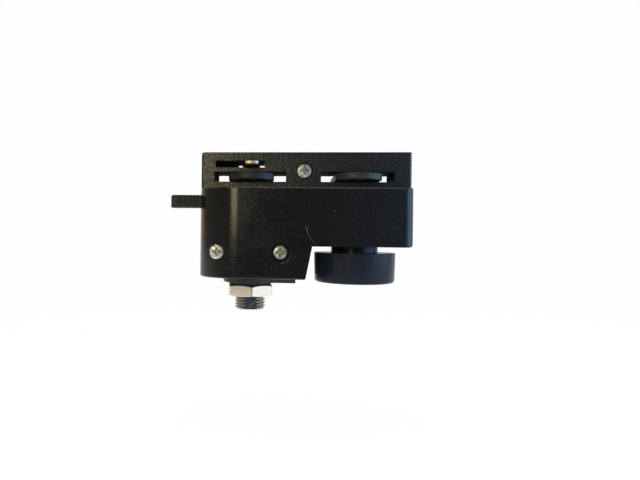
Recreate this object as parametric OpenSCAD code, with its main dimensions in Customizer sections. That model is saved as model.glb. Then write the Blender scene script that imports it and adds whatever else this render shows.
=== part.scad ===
// Track light adapter: a two-half moulded housing that hangs from a lighting track by two turning cams.
// X runs along the track with the knob at +X, Y runs across it with the screw heads at -Y, Z is up.
// Z = 0 is the ledge that rests against the track, X = 0 is midway between the two turning axes.

/* [Housing below the track] */
// Length along the track
body_len = 66.8; // [62:0.1:80]
// Offset of the housing towards the knob end
body_shift = -0.2; // [-0.5:0.05:0.5]
// Width across the track
body_w = 26.4; // [24:0.1:34]
// Depth of the arm over the knob, below the ledge
arm_h = 18; // [16:0.1:24]
// Depth of the leg over the lamp thread, below the ledge
leg_h = 28.2; // [25:0.1:36]
// Length of the leg at its lowest edge
leg_len = 34.2; // [31:0.1:36]
// Slant of the leg's side that faces the knob, in degrees
leg_slant = 11; // [0:0.5:14]
// Radius of the upright edges at the knob end
end_r = 3; // [2.2:0.1:5]
// Radius of the arm's lower edge at the knob end
edge_r = 1.5; // [0.5:0.1:2]
// Radius of the upper edges at the knob end
ledge_r = 0.3; // [0.2:0.05:0.6]
// Moulded wall thickness
wall = 1.8; // [1.4:0.1:2.1]
// Wall thickness under the ledge
ledge_wall = 1.2; // [1:0.1:1.3]
// Height of the raised pad round the lamp thread
pad_h = 1.8; // [0.8:0.1:2.5]
// Radius of the pad round the lamp thread
pad_r = 8.9; // [7.2:0.1:9.4]
// Length of the pad from the lamp thread towards the knob
pad_len = 14.8; // [10:0.1:16]
// Width of the pad's tongue towards the knob
pad_tongue_w = 11; // [8:0.1:14]

/* [Block inside the track] */
// Length of the block
block_len = 66.5; // [64:0.1:72]
// Offset of the block towards the knob end
block_shift = 0.55; // [0:0.05:1]
// Thickness of the block across the track
block_w = 13; // [12:0.1:16]
// Height of the block above the ledge
block_h = 11.75; // [11.2:0.05:14]
// Radius of the block's upright edges
block_r = 0.8; // [0.3:0.1:1.2]
// Radius of the top corner at the lever end
block_corner = 1.1; // [0.4:0.1:1.4]

/* [Turning cams] */
// Distance between the two turning axes
pivot_gap = 34; // [33:0.1:35.6]
// Width of a cam
cam_w = 14.2; // [11:0.1:16]
// Distance from the turning axis to a cam's nose
cam_reach = 12.4; // [11.5:0.1:13]
// Radius of a cam's nose
cam_nose_r = 9; // [8.2:0.1:14]
// Thickness of a cam
cam_t = 2.05; // [1.6:0.05:2.4]
// Chamfer under a cam's nose, which leads it under the track's lip
cam_chamfer = 0.5; // [0.2:0.05:0.8]
// Angle by which the contact cam and the tongues lead the lever, in degrees
contact_lead = 4; // [0:0.5:5]
// Height of the cam slots above the ledge
slot_z = 2.35; // [1.8:0.05:2.4]
// Height of a cam slot
slot_h = 3.25; // [3:0.05:3.4]
// Diameter of both turning spindles
spindle_d = 9; // [8:0.1:9.6]

/* [Contacts] */
// Width of a contact tongue
contact_w = 4.1; // [3.5:0.1:5]
// Thickness of the copper strip
contact_t = 0.8; // [0.5:0.05:1]
// Distance from the turning axis to a tongue's tip
contact_reach = 12; // [10.5:0.1:12.4]
// Height of the contact slots above the ledge
contact_slot_z = 6.9; // [6.6:0.05:7]
// Height of a contact slot
contact_slot_h = 2.2; // [1.9:0.05:2.4]
// Distance from the turning axis to the contact slot's short end
contact_slot_side = 4.65; // [4.2:0.05:6]
// Length of the solder tags below the spindle
tag_len = 4; // [2:0.1:6]

/* [Lever] */
// Distance from the turning axis to the lever's tip
lever_reach = 26.35; // [22:0.05:32]
// Height of the lever
lever_h = 4.15; // [3:0.05:4.4]
// Thickness of the lever across the housing
lever_t = 4.4; // [3:0.1:6]
// Number of grip grooves on each side
groove_count = 7; // [3:1:7]
// Distance between two grip grooves
groove_pitch = 1.03; // [0.8:0.01:1.1]

/* [Lock knob] */
// Diameter of the knob at its upper rim
knob_d = 26; // [22:0.1:28]
// Height of the knob
knob_h = 9.55; // [6:0.05:14]
// Amount by which the knob's radius shrinks towards its lower rim
knob_draft = 0.25; // [0:0.05:0.5]
// Radius of the knob's lower rim
knob_r = 0.9; // [0.5:0.1:2]
// Gap between the housing and the knob
knob_gap = 2; // [0.6:0.1:4]
// Diameter of the knob's neck
neck_d = 15; // [12:0.1:16.4]

/* [Lamp thread] */
// Outer diameter of the thread
thread_d = 10; // [8:0.1:10.4]
// Diameter of the wire bore
wire_d = 7; // [5:0.1:7.2]
// Length of thread that stays free below the nut
thread_free = 4.3; // [3:0.1:12]
// Depth of the milled flat on the thread
flat_depth = 0.95; // [0.3:0.05:1]
// Angle by which the flat is turned from the front towards the knob, in degrees
flat_turn = 8; // [-20:1:20]
// Width across the flats of both nuts
nut_af = 14; // [13:0.1:14.4]
// Height of the outer nut
nut_h = 3.6; // [2.5:0.1:6]
// Height of the nut inside the leg
inner_nut_h = 3; // [2:0.1:3.1]
// Height of the washer above the outer nut
washer_h = 0.9; // [0.5:0.1:1.5]
// Diameter of the washer
washer_d = 13.9; // [12.5:0.1:14]
// Angle at which the outer nut came to rest, in degrees
nut_turn = 38; // [0:1:60]

/* [Screws] */
// Diameter of the screw shanks
screw_d = 2.6; // [2:0.1:2.8]
// Diameter of the screw heads
head_d = 4.65; // [4:0.05:4.8]
// Height of the screw heads
head_h = 1.6; // [1.2:0.1:1.8]
// Height of the upper screw above the ledge
top_screw_z = 5.95; // [5.4:0.05:6.4]
// Offset of the upper screw towards the knob end
top_screw_x = 0.3; // [-0.4:0.05:0.6]
// Height of the lower screws above the leg's lowest face
low_screw_up = 8.2; // [8:0.1:9.5]
// Distance of each lower screw from the lamp thread's axis
low_screw_gap = 9.85; // [9.6:0.05:10.2]

/* [Hidden] */
$fn = 96;
// Radial play of everything that turns
play = 0.1;
// Play between flat faces that pass each other
face_play = 0.2;
// Play of a cam's nose in its pocket
cam_play = 0.8;
// Play of a tongue's tip in its pocket
tongue_play = 0.6;
// Play beside a tongue at the end of its swing
swing_play = 0.3;
// Play round a screw shank in its through hole
shank_play = 0.2;
// Play round a screw head
head_play = 0.3;
// Play round pieces that are held still
seat_play = 0.05;
// Play above and below the lever in its slot
lever_play = 0.3;
// Play beside the lever in its slot
lever_side_play = 0.35;
// Play at the end of a driven screw
tip_play = 0.6;
// Length by which cutting shapes pass through the walls
through = 1;

left_end = body_shift - body_len / 2;
right_end = body_shift + body_len / 2;
half_w = body_w / 2;
round_x = left_end + half_w;
leg_end = left_end + leg_len;
leg_top = leg_end + (leg_h - arm_h) * tan(leg_slant);
block_left = block_shift - block_len / 2;
block_right = block_shift + block_len / 2;
contact_x = -pivot_gap / 2;
lock_x = pivot_gap / 2;

// Height of a cam above the floor of its slot
cam_lift = 0.3;
cam_z = slot_z + cam_lift;
cam_swing = cam_reach + cam_play;
spindle_r = spindle_d / 2;

slot_top = slot_z + slot_h;
contact_slot_top = contact_slot_z + contact_slot_h;
carrier_z = contact_slot_z + face_play;
// Thickness of the ledge that carries a tongue
carrier_t = 0.4;
// Length by which a tongue stands out over its ledge
carrier_step = 0.4;
tongue_z = carrier_z + carrier_t;
tongue_top = tongue_z + contact_t;
tongue_swing = norm([contact_reach, contact_w / 2]) + tongue_play;
// Diameter of the spindle between both tongues
post_d = 5.8;
// Step from the spindle to its web between both slots
web_step = 0.5;
web_d = spindle_d - 2 * web_step;
// Distance of the copper strips from the turning axis
leg_in = 1.2;
// Width of the copper strip inside the spindle
strip_w = 2.8;
// Diameter of the hole in a solder tag
tag_hole_d = 1.3;
cap_t = contact_slot_top - face_play - tongue_top;
// Diameter and height of the upper journal, and of the peg that locates the cap
journal_d = 4;
journal_h = 1.4;
journal_top = contact_slot_top + journal_h;
peg_d = 1.2;
peg_len = 2.2;

// Gap between the ledge's wall and the lever
lever_drop = 0.45;
lever_top = -ledge_wall - lever_drop;
lever_low = lever_top - lever_h;
// Depth of the two flats that key the lever
key_depth = 0.8;
lever_flat = spindle_d - 2 * key_depth;
// Wall round the spindle in the lever's hub
hub_wall = 2.5;
lever_hub_d = spindle_d + 2 * hub_wall;
lever_slot_low = lever_low - lever_play;
lever_clear = lever_t / 2 + lever_side_play;
// Radius of the lever's upper corner
lever_r = 0.8;
// Grip grooves: width, depth, plain margin below and above, distance of the first from the housing
groove_w = 0.5;
groove_deep = 0.4;
groove_low = 0.8;
groove_high = 0.3;
groove_start = 0.9;
// Thickness of the rib under the lever
shelf_t = 2;
shelf_low = lever_slot_low - shelf_t;
// Step from the flats to the lower journal
journal_step = 0.2;
low_journal_d = lever_flat - 2 * journal_step;
// Length of the lower journal below its rib
journal_out = 0.4;
spindle_low = shelf_low - journal_out;

knob_top = -arm_h - knob_gap;
knob_low = knob_top - knob_h;
// Overhang and thickness of the flange that keeps the knob in the housing
flange_out = 1.7;
flange_t = 1.4;
flange_d = neck_d + 2 * flange_out;
flange_low = -arm_h + wall + face_play;
// Width of the square that keys the lock cam
square_w = 5;
// Overlap of the square with the stem
key_sink = 0.5;
// Cam screw: shank, head and length
cam_screw_d = 3;
cam_screw_head = 5.4;
cam_screw_head_h = 1.5;
cam_screw_len = 9;

pad_low = -leg_h - pad_h;
washer_low = pad_low - washer_h;
nut_low = washer_low - nut_h;
thread_low = nut_low - thread_free;
leg_floor = -leg_h + wall;
inner_nut_top = leg_floor + inner_nut_h;
// Length of thread that shows above the inner nut
thread_over = 0.7;
thread_top = inner_nut_top + thread_over;
thread_r = thread_d / 2;
// Inside the nuts and the housing the thread is drawn at its pitch radius
pitch_depth = 0.3;
engaged_r = thread_r - pitch_depth;
flat_y = -thread_r + flat_depth;
thread_chamfer = 0.5;
// Nut chamfer: distance of its rim inside the flats, and its angle
nut_rim = 0.1;
nut_slope = 20;
// Collar that keeps the inner nut from turning
nut_collar_wall = 1.2;
nut_collar_end = 2.4;
nut_collar_h = 1.8;

low_screw_z = leg_h - low_screw_up;
// Wall of a screw boss, wall round a sunk head and floor under it
boss_wall = 1.6;
sink_wall = 1.2;
sink_floor = 1.6;
boss_d = screw_d + 2 * boss_wall;
head_r = head_d / 2;
sink_r = head_r + head_play;
// Depth of the screw heads below the faces they are sunk in
top_sink = 0.3;
low_sink = 1.6;
top_seat_y = -block_w / 2 + head_h + top_sink;
// Wall left behind the upper screw
top_screw_end = 2.2;
top_screw_len = block_w / 2 - top_seat_y - top_screw_end;
low_seat_y = -half_w + head_h + low_sink;
low_screw_len = 16;
// Screw tip: length of its point and radius taken off it
point_len = 1.6;
point_r = 0.9;

// Places its children on the turning axis of the contacts, of the lock or of the lamp thread.
module at_contact() translate([contact_x, 0, 0]) children();
module at_lock() translate([lock_x, 0, 0]) children();

// Turns a drawing of the front view, X and Z, into a slab that runs right across the housing.
module across(width) {
  rotate([90, 0, 0])
    linear_extrude(width, center = true)
      children();
}

// Outline of the housing from above: half round at the lever end, rounded edges at the knob end.
module body_plan(inset) {
  translate([round_x, 0])
    circle(r = half_w - inset);
  translate([round_x, inset - half_w])
    square([right_end - end_r - round_x, body_w - 2 * inset]);
  translate([round_x, end_r - half_w])
    square([right_end - inset - round_x, body_w - 2 * end_r]);
  for (side = [-1, 1])
    translate([right_end - end_r, side * (half_w - end_r)])
      circle(r = end_r - inset);
}

// Front view of the housing below the ledge: the arm and the deeper, slanted leg.
module body_front(inset, top) {
  lean = inset / cos(leg_slant);
  polygon([
    [left_end + inset, -top],
    [right_end - inset, -top],
    [right_end - inset, inset - arm_h],
    [leg_top - lean + inset * tan(leg_slant), inset - arm_h],
    [leg_end - lean + inset * tan(leg_slant), inset - leg_h],
    [left_end + inset, inset - leg_h]
  ]);
}

// The leftover of a square corner beside a quarter circle, to be taken off where an edge is rounded.
module corner_trim(r) {
  difference() {
    square(r + through);
    circle(r = r);
  }
}

module body_solid() {
  difference() {
    intersection() {
      translate([0, 0, -leg_h])
        linear_extrude(leg_h)
          body_plan(0);
      across(body_w + 2 * through)
        body_front(0, 0);
    }
    across(body_w + 2 * through) {
      translate([right_end - ledge_r, -ledge_r])
        corner_trim(ledge_r);
      translate([right_end - edge_r, edge_r - arm_h])
        rotate(-90)
          corner_trim(edge_r);
    }
  }
}

module body_hollow() {
  intersection() {
    translate([0, 0, -leg_h])
      linear_extrude(leg_h)
        body_plan(wall);
    across(body_w)
      body_front(wall, ledge_wall);
  }
}

// The block that goes into the track, with its rounded edges.
module block_solid() {
  difference() {
    linear_extrude(block_h) {
      translate([block_left, block_r - block_w / 2])
        square([block_len, block_w - 2 * block_r]);
      translate([block_left + block_r, -block_w / 2])
        square([block_len - 2 * block_r, block_w]);
      for (x = [block_left + block_r, block_right - block_r], side = [-1, 1])
        translate([x, side * (block_w / 2 - block_r)])
          circle(r = block_r);
    }
    across(block_w + 2 * through) {
      translate([block_left + block_corner, block_h - block_corner])
        rotate(90)
          corner_trim(block_corner);
      translate([block_right - ledge_r, block_h - ledge_r])
        corner_trim(ledge_r);
    }
  }
}

// The raised pad under the leg: round about the lamp thread, with a tongue towards the knob.
module pad() {
  translate([contact_x, 0, pad_low])
    linear_extrude(pad_h) {
      circle(r = pad_r);
      translate([0, -pad_tongue_w / 2])
        square([pad_len, pad_tongue_w]);
    }
}

// Round bosses in which the lower screws draw both halves together.
module screw_bosses() {
  intersection() {
    for (side = [-1, 1])
      translate([contact_x + side * low_screw_gap, 0, -low_screw_z])
        rotate([90, 0, 0])
          cylinder(d = boss_d, h = body_w, center = true);
    body_solid();
  }
  intersection() {
    for (side = [-1, 1])
      translate([contact_x + side * low_screw_gap, 0, -low_screw_z])
        rotate([90, 0, 0])
          translate([0, 0, -low_seat_y - sink_floor])
            cylinder(r = sink_r + sink_wall, h = body_w);
    body_solid();
  }
}

// The rib that carries the contact spindle from below.
module shelf() {
  intersection() {
    at_contact()
      translate([-spindle_d, -half_w, shelf_low])
        cube([2 * spindle_d, body_w, shelf_t]);
    body_solid();
  }
}

// The collar that keeps the inner nut from turning.
module nut_pocket() {
  translate([contact_x, 0, leg_floor])
    difference() {
      translate([-nut_af / 2 - nut_collar_wall, -nut_af / 2 - nut_collar_end, -wall / 2])
        cube([nut_af + 2 * nut_collar_wall, nut_af + 2 * nut_collar_end, wall / 2 + nut_collar_h]);
      rotate(30)
        cylinder(d = (nut_af + 2 * seat_play) / cos(30), h = leg_h, $fn = 6);
    }
}

// Slots and pockets in which the cams and the contact tongues turn.
module block_pockets() {
  for (x = [contact_x, lock_x])
    translate([x, 0, slot_z])
      cylinder(r = cam_swing, h = slot_h);
  translate([contact_x, 0, contact_slot_z])
    linear_extrude(contact_slot_h)
      for (turn = [0, 180])
        rotate(turn)
          intersection() {
            circle(r = tongue_swing);
            translate([-2 * tongue_swing, -2 * tongue_swing])
              square([2 * tongue_swing + contact_slot_side, 2 * tongue_swing + contact_w / 2 + swing_play]);
          }
}

// Bearings of both spindles, the knob's neck and the lamp thread.
module bearings() {
  for (x = [contact_x, lock_x])
    translate([x, 0, -ledge_wall - through])
      cylinder(r = spindle_r + play, h = ledge_wall + slot_z + 2 * through);
  at_contact() {
    translate([0, 0, slot_top - through])
      cylinder(r = web_d / 2 + play, h = contact_slot_z - slot_top + 2 * through);
    translate([0, 0, contact_slot_top - through])
      cylinder(r = journal_d / 2 + play, h = journal_top + face_play - contact_slot_top + through);
    translate([0, 0, shelf_low - through])
      cylinder(r = low_journal_d / 2 + play, h = shelf_t + 2 * through);
    translate([0, 0, pad_low - through])
      linear_extrude(pad_h + wall + 2 * through)
        rotate(flat_turn) difference() {
          circle(r = engaged_r + seat_play);
          translate([-thread_d, flat_y - seat_play - thread_d])
            square([2 * thread_d, thread_d]);
        }
  }
  at_lock() {
    translate([0, 0, -arm_h - through])
      cylinder(r = neck_d / 2 + play, h = wall + 2 * through);
    translate([0, 0, slot_top - through])
      cylinder(d = cam_screw_head + 2 * tip_play, h = cam_screw_head_h + tip_play + through);
  }
}

// The slot at the lever end in which the lever swings through a quarter turn to the back.
module lever_slot() {
  far = lever_reach + body_w;
  translate([contact_x, 0, lever_slot_low])
    linear_extrude(-ledge_wall - lever_slot_low)
      polygon([
        [0, -lever_clear], [-far, -lever_clear], [-far, far],
        [lever_clear, far], [lever_clear, 0], [0, 0]
      ]);
}

// One screw hole along Y: sunk head, through hole in the front half, driven hole in the back half.
module screw_hole(seat_y, length) {
  rotate([90, 0, 0]) {
    translate([0, 0, -seat_y])
      cylinder(r = sink_r, h = body_w);
    cylinder(d = screw_d + 2 * shank_play, h = body_w);
    translate([0, 0, -seat_y - length - tip_play])
      cylinder(d = screw_d + 2 * seat_play, h = length);
  }
}

module housing() {
  difference() {
    union() {
      difference() {
        body_solid();
        body_hollow();
      }
      block_solid();
      pad();
      screw_bosses();
      shelf();
      nut_pocket();
    }
    block_pockets();
    bearings();
    lever_slot();
    translate([top_screw_x, 0, top_screw_z])
      screw_hole(top_seat_y, top_screw_len);
    for (side = [-1, 1])
      translate([contact_x + side * low_screw_gap, 0, -low_screw_z])
        screw_hole(low_seat_y, low_screw_len);
  }
}

// Cuts the housing at the parting plane Y = 0 and keeps one side.
module half(side) {
  reach = 2 * body_len;
  intersection() {
    housing();
    translate([-reach, side < 0 ? -reach : 0, -reach])
      cube([2 * reach, reach, 2 * reach]);
  }
}

module housing_front() {
  color("#1d1c1b")
    half(-1);
}

module housing_rear() {
  color("#1d1c1b")
    half(1);
}

// Pan-head screw along Y with its head towards -Y.
module screw(length) {
  rotate([90, 0, 0]) {
    difference() {
      translate([0, 0, -length])
        cylinder(d = screw_d, h = length);
      translate([0, 0, -length])
        rotate_extrude()
          polygon([
            [screw_d / 2 - point_r, -through], [screw_d, -through],
            [screw_d, point_len], [screw_d / 2, point_len]
          ]);
    }
    rotate_extrude()
      intersection() {
        square([head_r, head_h]);
        translate([0, head_h - 2 * head_d])
          circle(r = 2 * head_d);
      }
  }
}

module top_screw() {
  color("#b9b6b0")
    translate([top_screw_x, top_seat_y, top_screw_z])
      screw(top_screw_len);
}

module lower_screws() {
  color("#b9b6b0")
    for (side = [-1, 1])
      translate([contact_x + side * low_screw_gap, low_seat_y, -low_screw_z])
        screw(low_screw_len);
}

// Outline of a cam from above, long along Y, with a rounded nose at each end.
module cam_plan() {
  intersection() {
    square([cam_w, 2 * cam_reach], center = true);
    translate([0, cam_nose_r - cam_reach])
      circle(r = cam_nose_r);
    translate([-cam_w, -2 * cam_reach])
      square([2 * cam_w, 2 * cam_reach]);
  }
  intersection() {
    square([cam_w, 2 * cam_reach], center = true);
    translate([0, cam_reach - cam_nose_r])
      circle(r = cam_nose_r);
    translate([-cam_w, 0])
      square([2 * cam_w, 2 * cam_reach]);
  }
  square([cam_w, 2 * (cam_reach - cam_nose_r)], center = true);
}

// One cam, chamfered under both noses.
module cam() {
  intersection() {
    linear_extrude(cam_t)
      cam_plan();
    union() {
      cylinder(r1 = cam_reach - cam_chamfer, r2 = cam_reach, h = cam_chamfer);
      translate([0, 0, cam_chamfer])
        cylinder(r = cam_reach + through, h = cam_t);
    }
  }
}

// Upright slots and flat beds for both copper strips in the contact spindle.
module strip_beds() {
  for (side = [0, 180])
    rotate(contact_lead + side) {
      translate([-strip_w / 2 - seat_play, -leg_in - contact_t - seat_play, spindle_low - through])
        cube([strip_w + 2 * seat_play, contact_t + 2 * seat_play, tongue_top - spindle_low + 2 * through]);
      translate([-contact_w / 2 - seat_play, -contact_reach - through, tongue_z])
        cube([contact_w + 2 * seat_play, contact_reach + through - leg_in + seat_play, contact_t + through]);
    }
}

module contact_rotor() {
  color("#211f1e")
    at_contact()
      difference() {
        union() {
          translate([0, 0, cam_z])
            rotate(contact_lead)
              cam();
          translate([0, 0, cam_z])
            cylinder(d = web_d, h = contact_slot_z - cam_z);
          translate([0, 0, cam_z])
            cylinder(d = post_d, h = tongue_top - cam_z);
          for (side = [0, 180])
            rotate(contact_lead + side)
              translate([-contact_w / 2, carrier_step - contact_reach, carrier_z])
                cube([contact_w, contact_reach, carrier_t]);
          translate([0, 0, lever_top])
            cylinder(d = spindle_d, h = cam_z - lever_top);
          intersection() {
            translate([0, 0, lever_low])
              cylinder(d = spindle_d, h = lever_h);
            translate([-lever_flat / 2, -spindle_d, lever_low])
              cube([lever_flat, 2 * spindle_d, lever_h]);
          }
          translate([0, 0, spindle_low])
            cylinder(d = low_journal_d, h = lever_low - spindle_low);
        }
        strip_beds();
        translate([0, 0, tongue_top - peg_len - face_play])
          cylinder(d = peg_d + 2 * seat_play, h = peg_len + face_play + through);
      }
}

// Insulating cap over both tongues, with the upper journal and a locating peg.
module rotor_cap() {
  color("#211f1e")
    at_contact() {
      translate([0, 0, tongue_top])
        cylinder(d = post_d, h = cap_t);
      translate([0, 0, tongue_top])
        cylinder(d = journal_d, h = journal_top - tongue_top);
      translate([0, 0, tongue_top - peg_len])
        cylinder(d = peg_d, h = peg_len + cap_t);
    }
}

// Bent copper strip: a tongue that meets the track's conductor and a tag for the wire below.
module contact_strip() {
  difference() {
    union() {
      intersection() {
        translate([-contact_w / 2, -contact_reach, tongue_z])
          cube([contact_w, contact_reach - leg_in, contact_t]);
        translate([0, contact_w - contact_reach, tongue_z])
          union() {
            cylinder(r = contact_w, h = contact_t);
            translate([-contact_w, 0, 0])
              cube([2 * contact_w, contact_reach, contact_t]);
          }
      }
      translate([-strip_w / 2, -leg_in - contact_t, spindle_low - tag_len])
        cube([strip_w, contact_t, tongue_top - spindle_low + tag_len]);
    }
    translate([0, 0, spindle_low - tag_len + tag_hole_d])
      rotate([90, 0, 0])
        cylinder(d = tag_hole_d, h = contact_reach);
  }
}

module line_contact() {
  color("#b87346")
    at_contact()
      rotate(contact_lead)
        contact_strip();
}

module neutral_contact() {
  color("#b87346")
    at_contact()
      rotate(contact_lead + 180)
        contact_strip();
}

// Lever keyed to the contact spindle by two flats, with a grooved grip outside the housing.
module switch_lever() {
  grip_end = contact_x - lever_reach;
  groove_x = left_end - groove_start;
  groove_h = lever_h - groove_low - groove_high;
  color("#2d2e2c")
    difference() {
      union() {
        at_contact()
          translate([0, 0, lever_low])
            cylinder(d = lever_hub_d, h = lever_h);
        translate([grip_end, -lever_t / 2, lever_low])
          cube([lever_reach, lever_t, lever_h]);
      }
      at_contact()
        translate([0, 0, lever_low - through])
          intersection() {
            cylinder(r = spindle_r + seat_play, h = lever_h + 2 * through);
            translate([-lever_flat / 2 - seat_play, -spindle_d, 0])
              cube([lever_flat + 2 * seat_play, 2 * spindle_d, lever_h + 2 * through]);
          }
      across(lever_t + 2 * through)
        translate([grip_end + lever_r, lever_top - lever_r])
          rotate(90)
            corner_trim(lever_r);
      for (i = [0 : groove_count - 1], side = [-1, 1])
        translate([groove_x - i * groove_pitch, side * lever_t / 2, lever_low + groove_low + groove_h / 2])
          cube([groove_w, 2 * groove_deep, groove_h], center = true);
    }
}

// Knob, neck, retaining flange and stem in one moulding, with a square end for the cam.
module lock_knob() {
  low_r = knob_d / 2 - knob_draft;
  color("#1b1c20")
    at_lock()
      difference() {
        union() {
          rotate_extrude()
            difference() {
              polygon([
                [0, knob_low], [low_r, knob_low], [knob_d / 2, knob_top],
                [neck_d / 2, knob_top], [neck_d / 2, flange_low],
                [flange_d / 2, flange_low], [flange_d / 2, flange_low + flange_t],
                [spindle_r, flange_low + flange_t], [spindle_r, cam_z], [0, cam_z]
              ]);
              translate([low_r - knob_r, knob_low + knob_r])
                rotate(-90)
                  corner_trim(knob_r);
            }
          translate([-square_w / 2, -square_w / 2, cam_z - key_sink])
            cube([square_w, square_w, cam_t + key_sink - face_play]);
        }
        translate([0, 0, cam_z + cam_t - cam_screw_len - tip_play])
          cylinder(d = cam_screw_d + 2 * seat_play, h = cam_screw_len + tip_play);
      }
}

module lock_cam() {
  color("#211f1e")
    at_lock()
      translate([0, 0, cam_z])
        difference() {
          cam();
          translate([0, 0, cam_t / 2])
            cube([square_w + 2 * seat_play, square_w + 2 * seat_play, cam_t + 2 * through], center = true);
        }
}

// Pan-head screw that holds the cam on the knob's stem.
module cam_screw() {
  color("#b9b6b0")
    translate([lock_x, 0, cam_z + cam_t]) {
      cylinder(d = cam_screw_head, h = cam_screw_head_h);
      translate([0, 0, -cam_screw_len])
        cylinder(d = cam_screw_d, h = cam_screw_len);
    }
}

// Hollow threaded tube for the lamp, with one milled flat that keeps it from turning.
module nipple() {
  color("#c4c1ba")
    at_contact()
      difference() {
        rotate_extrude()
          polygon([
            [wire_d / 2, thread_low], [thread_r - thread_chamfer, thread_low],
            [thread_r, thread_low + thread_chamfer], [thread_r, nut_low],
            [engaged_r, nut_low], [engaged_r, thread_top], [wire_d / 2, thread_top]
          ]);
        rotate(flat_turn)
          translate([-thread_d, flat_y - thread_d, thread_low - through])
            cube([2 * thread_d, thread_d, thread_top - thread_low + 2 * through]);
      }
}

// Hexagon nut with both faces chamfered.
module hex_nut(height) {
  rim = nut_af / 2 - nut_rim;
  corner = nut_af / sqrt(3) + nut_rim;
  slope = (corner - rim) * tan(nut_slope);
  difference() {
    intersection() {
      cylinder(d = nut_af / cos(30), h = height, $fn = 6);
      rotate_extrude()
        polygon([
          [0, 0], [rim, 0], [corner, slope],
          [corner, height - slope], [rim, height], [0, height]
        ]);
    }
    translate([0, 0, -through])
      cylinder(r = engaged_r, h = height + 2 * through);
  }
}

module inner_nut() {
  color("#c4c1ba")
    translate([contact_x, 0, leg_floor])
      rotate(30)
        hex_nut(inner_nut_h);
}

module nut_washer() {
  color("#191919")
    translate([contact_x, 0, washer_low])
      difference() {
        cylinder(d = washer_d, h = washer_h);
        translate([0, 0, -through])
          cylinder(r = engaged_r + play, h = washer_h + 2 * through);
      }
}

module outer_nut() {
  color("#c4c1ba")
    translate([contact_x, 0, nut_low])
      rotate(nut_turn)
        hex_nut(nut_h);
}

housing_front();
housing_rear();
top_screw();
lower_screws();
contact_rotor();
rotor_cap();
line_contact();
neutral_contact();
switch_lever();
lock_knob();
lock_cam();
cam_screw();
nipple();
inner_nut();
nut_washer();
outer_nut();
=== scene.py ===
import math

import bmesh
import bpy
from mathutils import Matrix, Vector


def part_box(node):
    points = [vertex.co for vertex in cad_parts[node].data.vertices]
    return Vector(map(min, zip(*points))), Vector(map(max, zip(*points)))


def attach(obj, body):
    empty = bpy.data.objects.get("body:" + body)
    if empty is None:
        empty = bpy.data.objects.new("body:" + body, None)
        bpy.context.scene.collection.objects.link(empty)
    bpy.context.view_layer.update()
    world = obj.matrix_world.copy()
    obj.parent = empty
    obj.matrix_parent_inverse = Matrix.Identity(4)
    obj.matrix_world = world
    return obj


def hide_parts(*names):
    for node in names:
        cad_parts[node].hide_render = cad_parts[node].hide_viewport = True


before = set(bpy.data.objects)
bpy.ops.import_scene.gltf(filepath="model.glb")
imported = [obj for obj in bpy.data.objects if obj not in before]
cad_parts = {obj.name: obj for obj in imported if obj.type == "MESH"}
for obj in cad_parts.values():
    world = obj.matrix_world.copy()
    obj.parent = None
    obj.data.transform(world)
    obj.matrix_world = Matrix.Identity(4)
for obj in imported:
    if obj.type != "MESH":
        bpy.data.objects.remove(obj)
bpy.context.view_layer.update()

# Rear half of the housing. The real piece is injection-moulded black polycarbonate, cored from the
# parting plane, with a spark-eroded grain on the block that enters the track and a satin grain on the
# body below it. The screws pull it against the front half.

MM = 0.001
WELD = 0.00002 * MM
SPECK_OF_MESH = 0.0002 * MM
SAME_PLANE = 0.001 * MM
FLAT_ENOUGH = math.radians(0.4)
SHARP_EDGE = math.radians(38)
SMOOTH_UNDER = math.radians(11)
OUTLINE_EDGE = 0.34 * MM
LEG_EDGE = 0.5 * MM
LEDGE_EDGE = 0.34 * MM
MOUTH_EDGE = 0.16 * MM
PAD_EDGE = 0.3 * MM
LEDGE_Z = 0.0 * MM
ROUND_PLAY = 0.1 * MM
ROUND_ALIGNED = 0.995
ROUND_LEAN = 0.056
POLYCARBONATE_IOR = 1.52


def srgb(code):
    """A hex colour as the linear RGBA that shader sockets take."""
    parts = [int(code[i : i + 2], 16) / 255 for i in (1, 3, 5)]
    return [c / 12.92 if c <= 0.04045 else ((c + 0.055) / 1.055) ** 2.4 for c in parts] + [1.0]


def add(tree, kind, links=None, inputs=None, **settings):
    """Adds one node: settings on it, values on its inputs, and links from other nodes' outputs."""
    node = tree.nodes.new(kind)
    for key, value in settings.items():
        setattr(node, key, value)
    for key, value in (inputs or {}).items():
        node.inputs[key].default_value = value
    for key, socket in (links or {}).items():
        tree.links.new(socket, node.inputs[key])
    return node


def new_material(name):
    """An empty node material with its output, shader and object coordinates."""
    material = bpy.data.materials.new(name)
    material.use_nodes = True
    tree = material.node_tree
    tree.nodes.clear()
    out = add(tree, "ShaderNodeOutputMaterial")
    shader = add(tree, "ShaderNodeBsdfPrincipled")
    tree.links.new(shader.outputs[0], out.inputs["Surface"])
    place = add(tree, "ShaderNodeTexCoord").outputs["Object"]
    return material, tree, shader, place


def merged_copy(node, weld=WELD):
    """The loose triangles of a CAD node, merged into flat faces and clean edges."""
    bm = bmesh.new()
    bm.from_mesh(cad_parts[node].data)
    bmesh.ops.remove_doubles(bm, verts=bm.verts, dist=weld)
    bmesh.ops.dissolve_limit(
        bm, angle_limit=FLAT_ENOUGH, verts=bm.verts, edges=bm.edges, delimit=set()
    )
    bmesh.ops.recalc_face_normals(bm, faces=bm.faces)
    return bm


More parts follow.
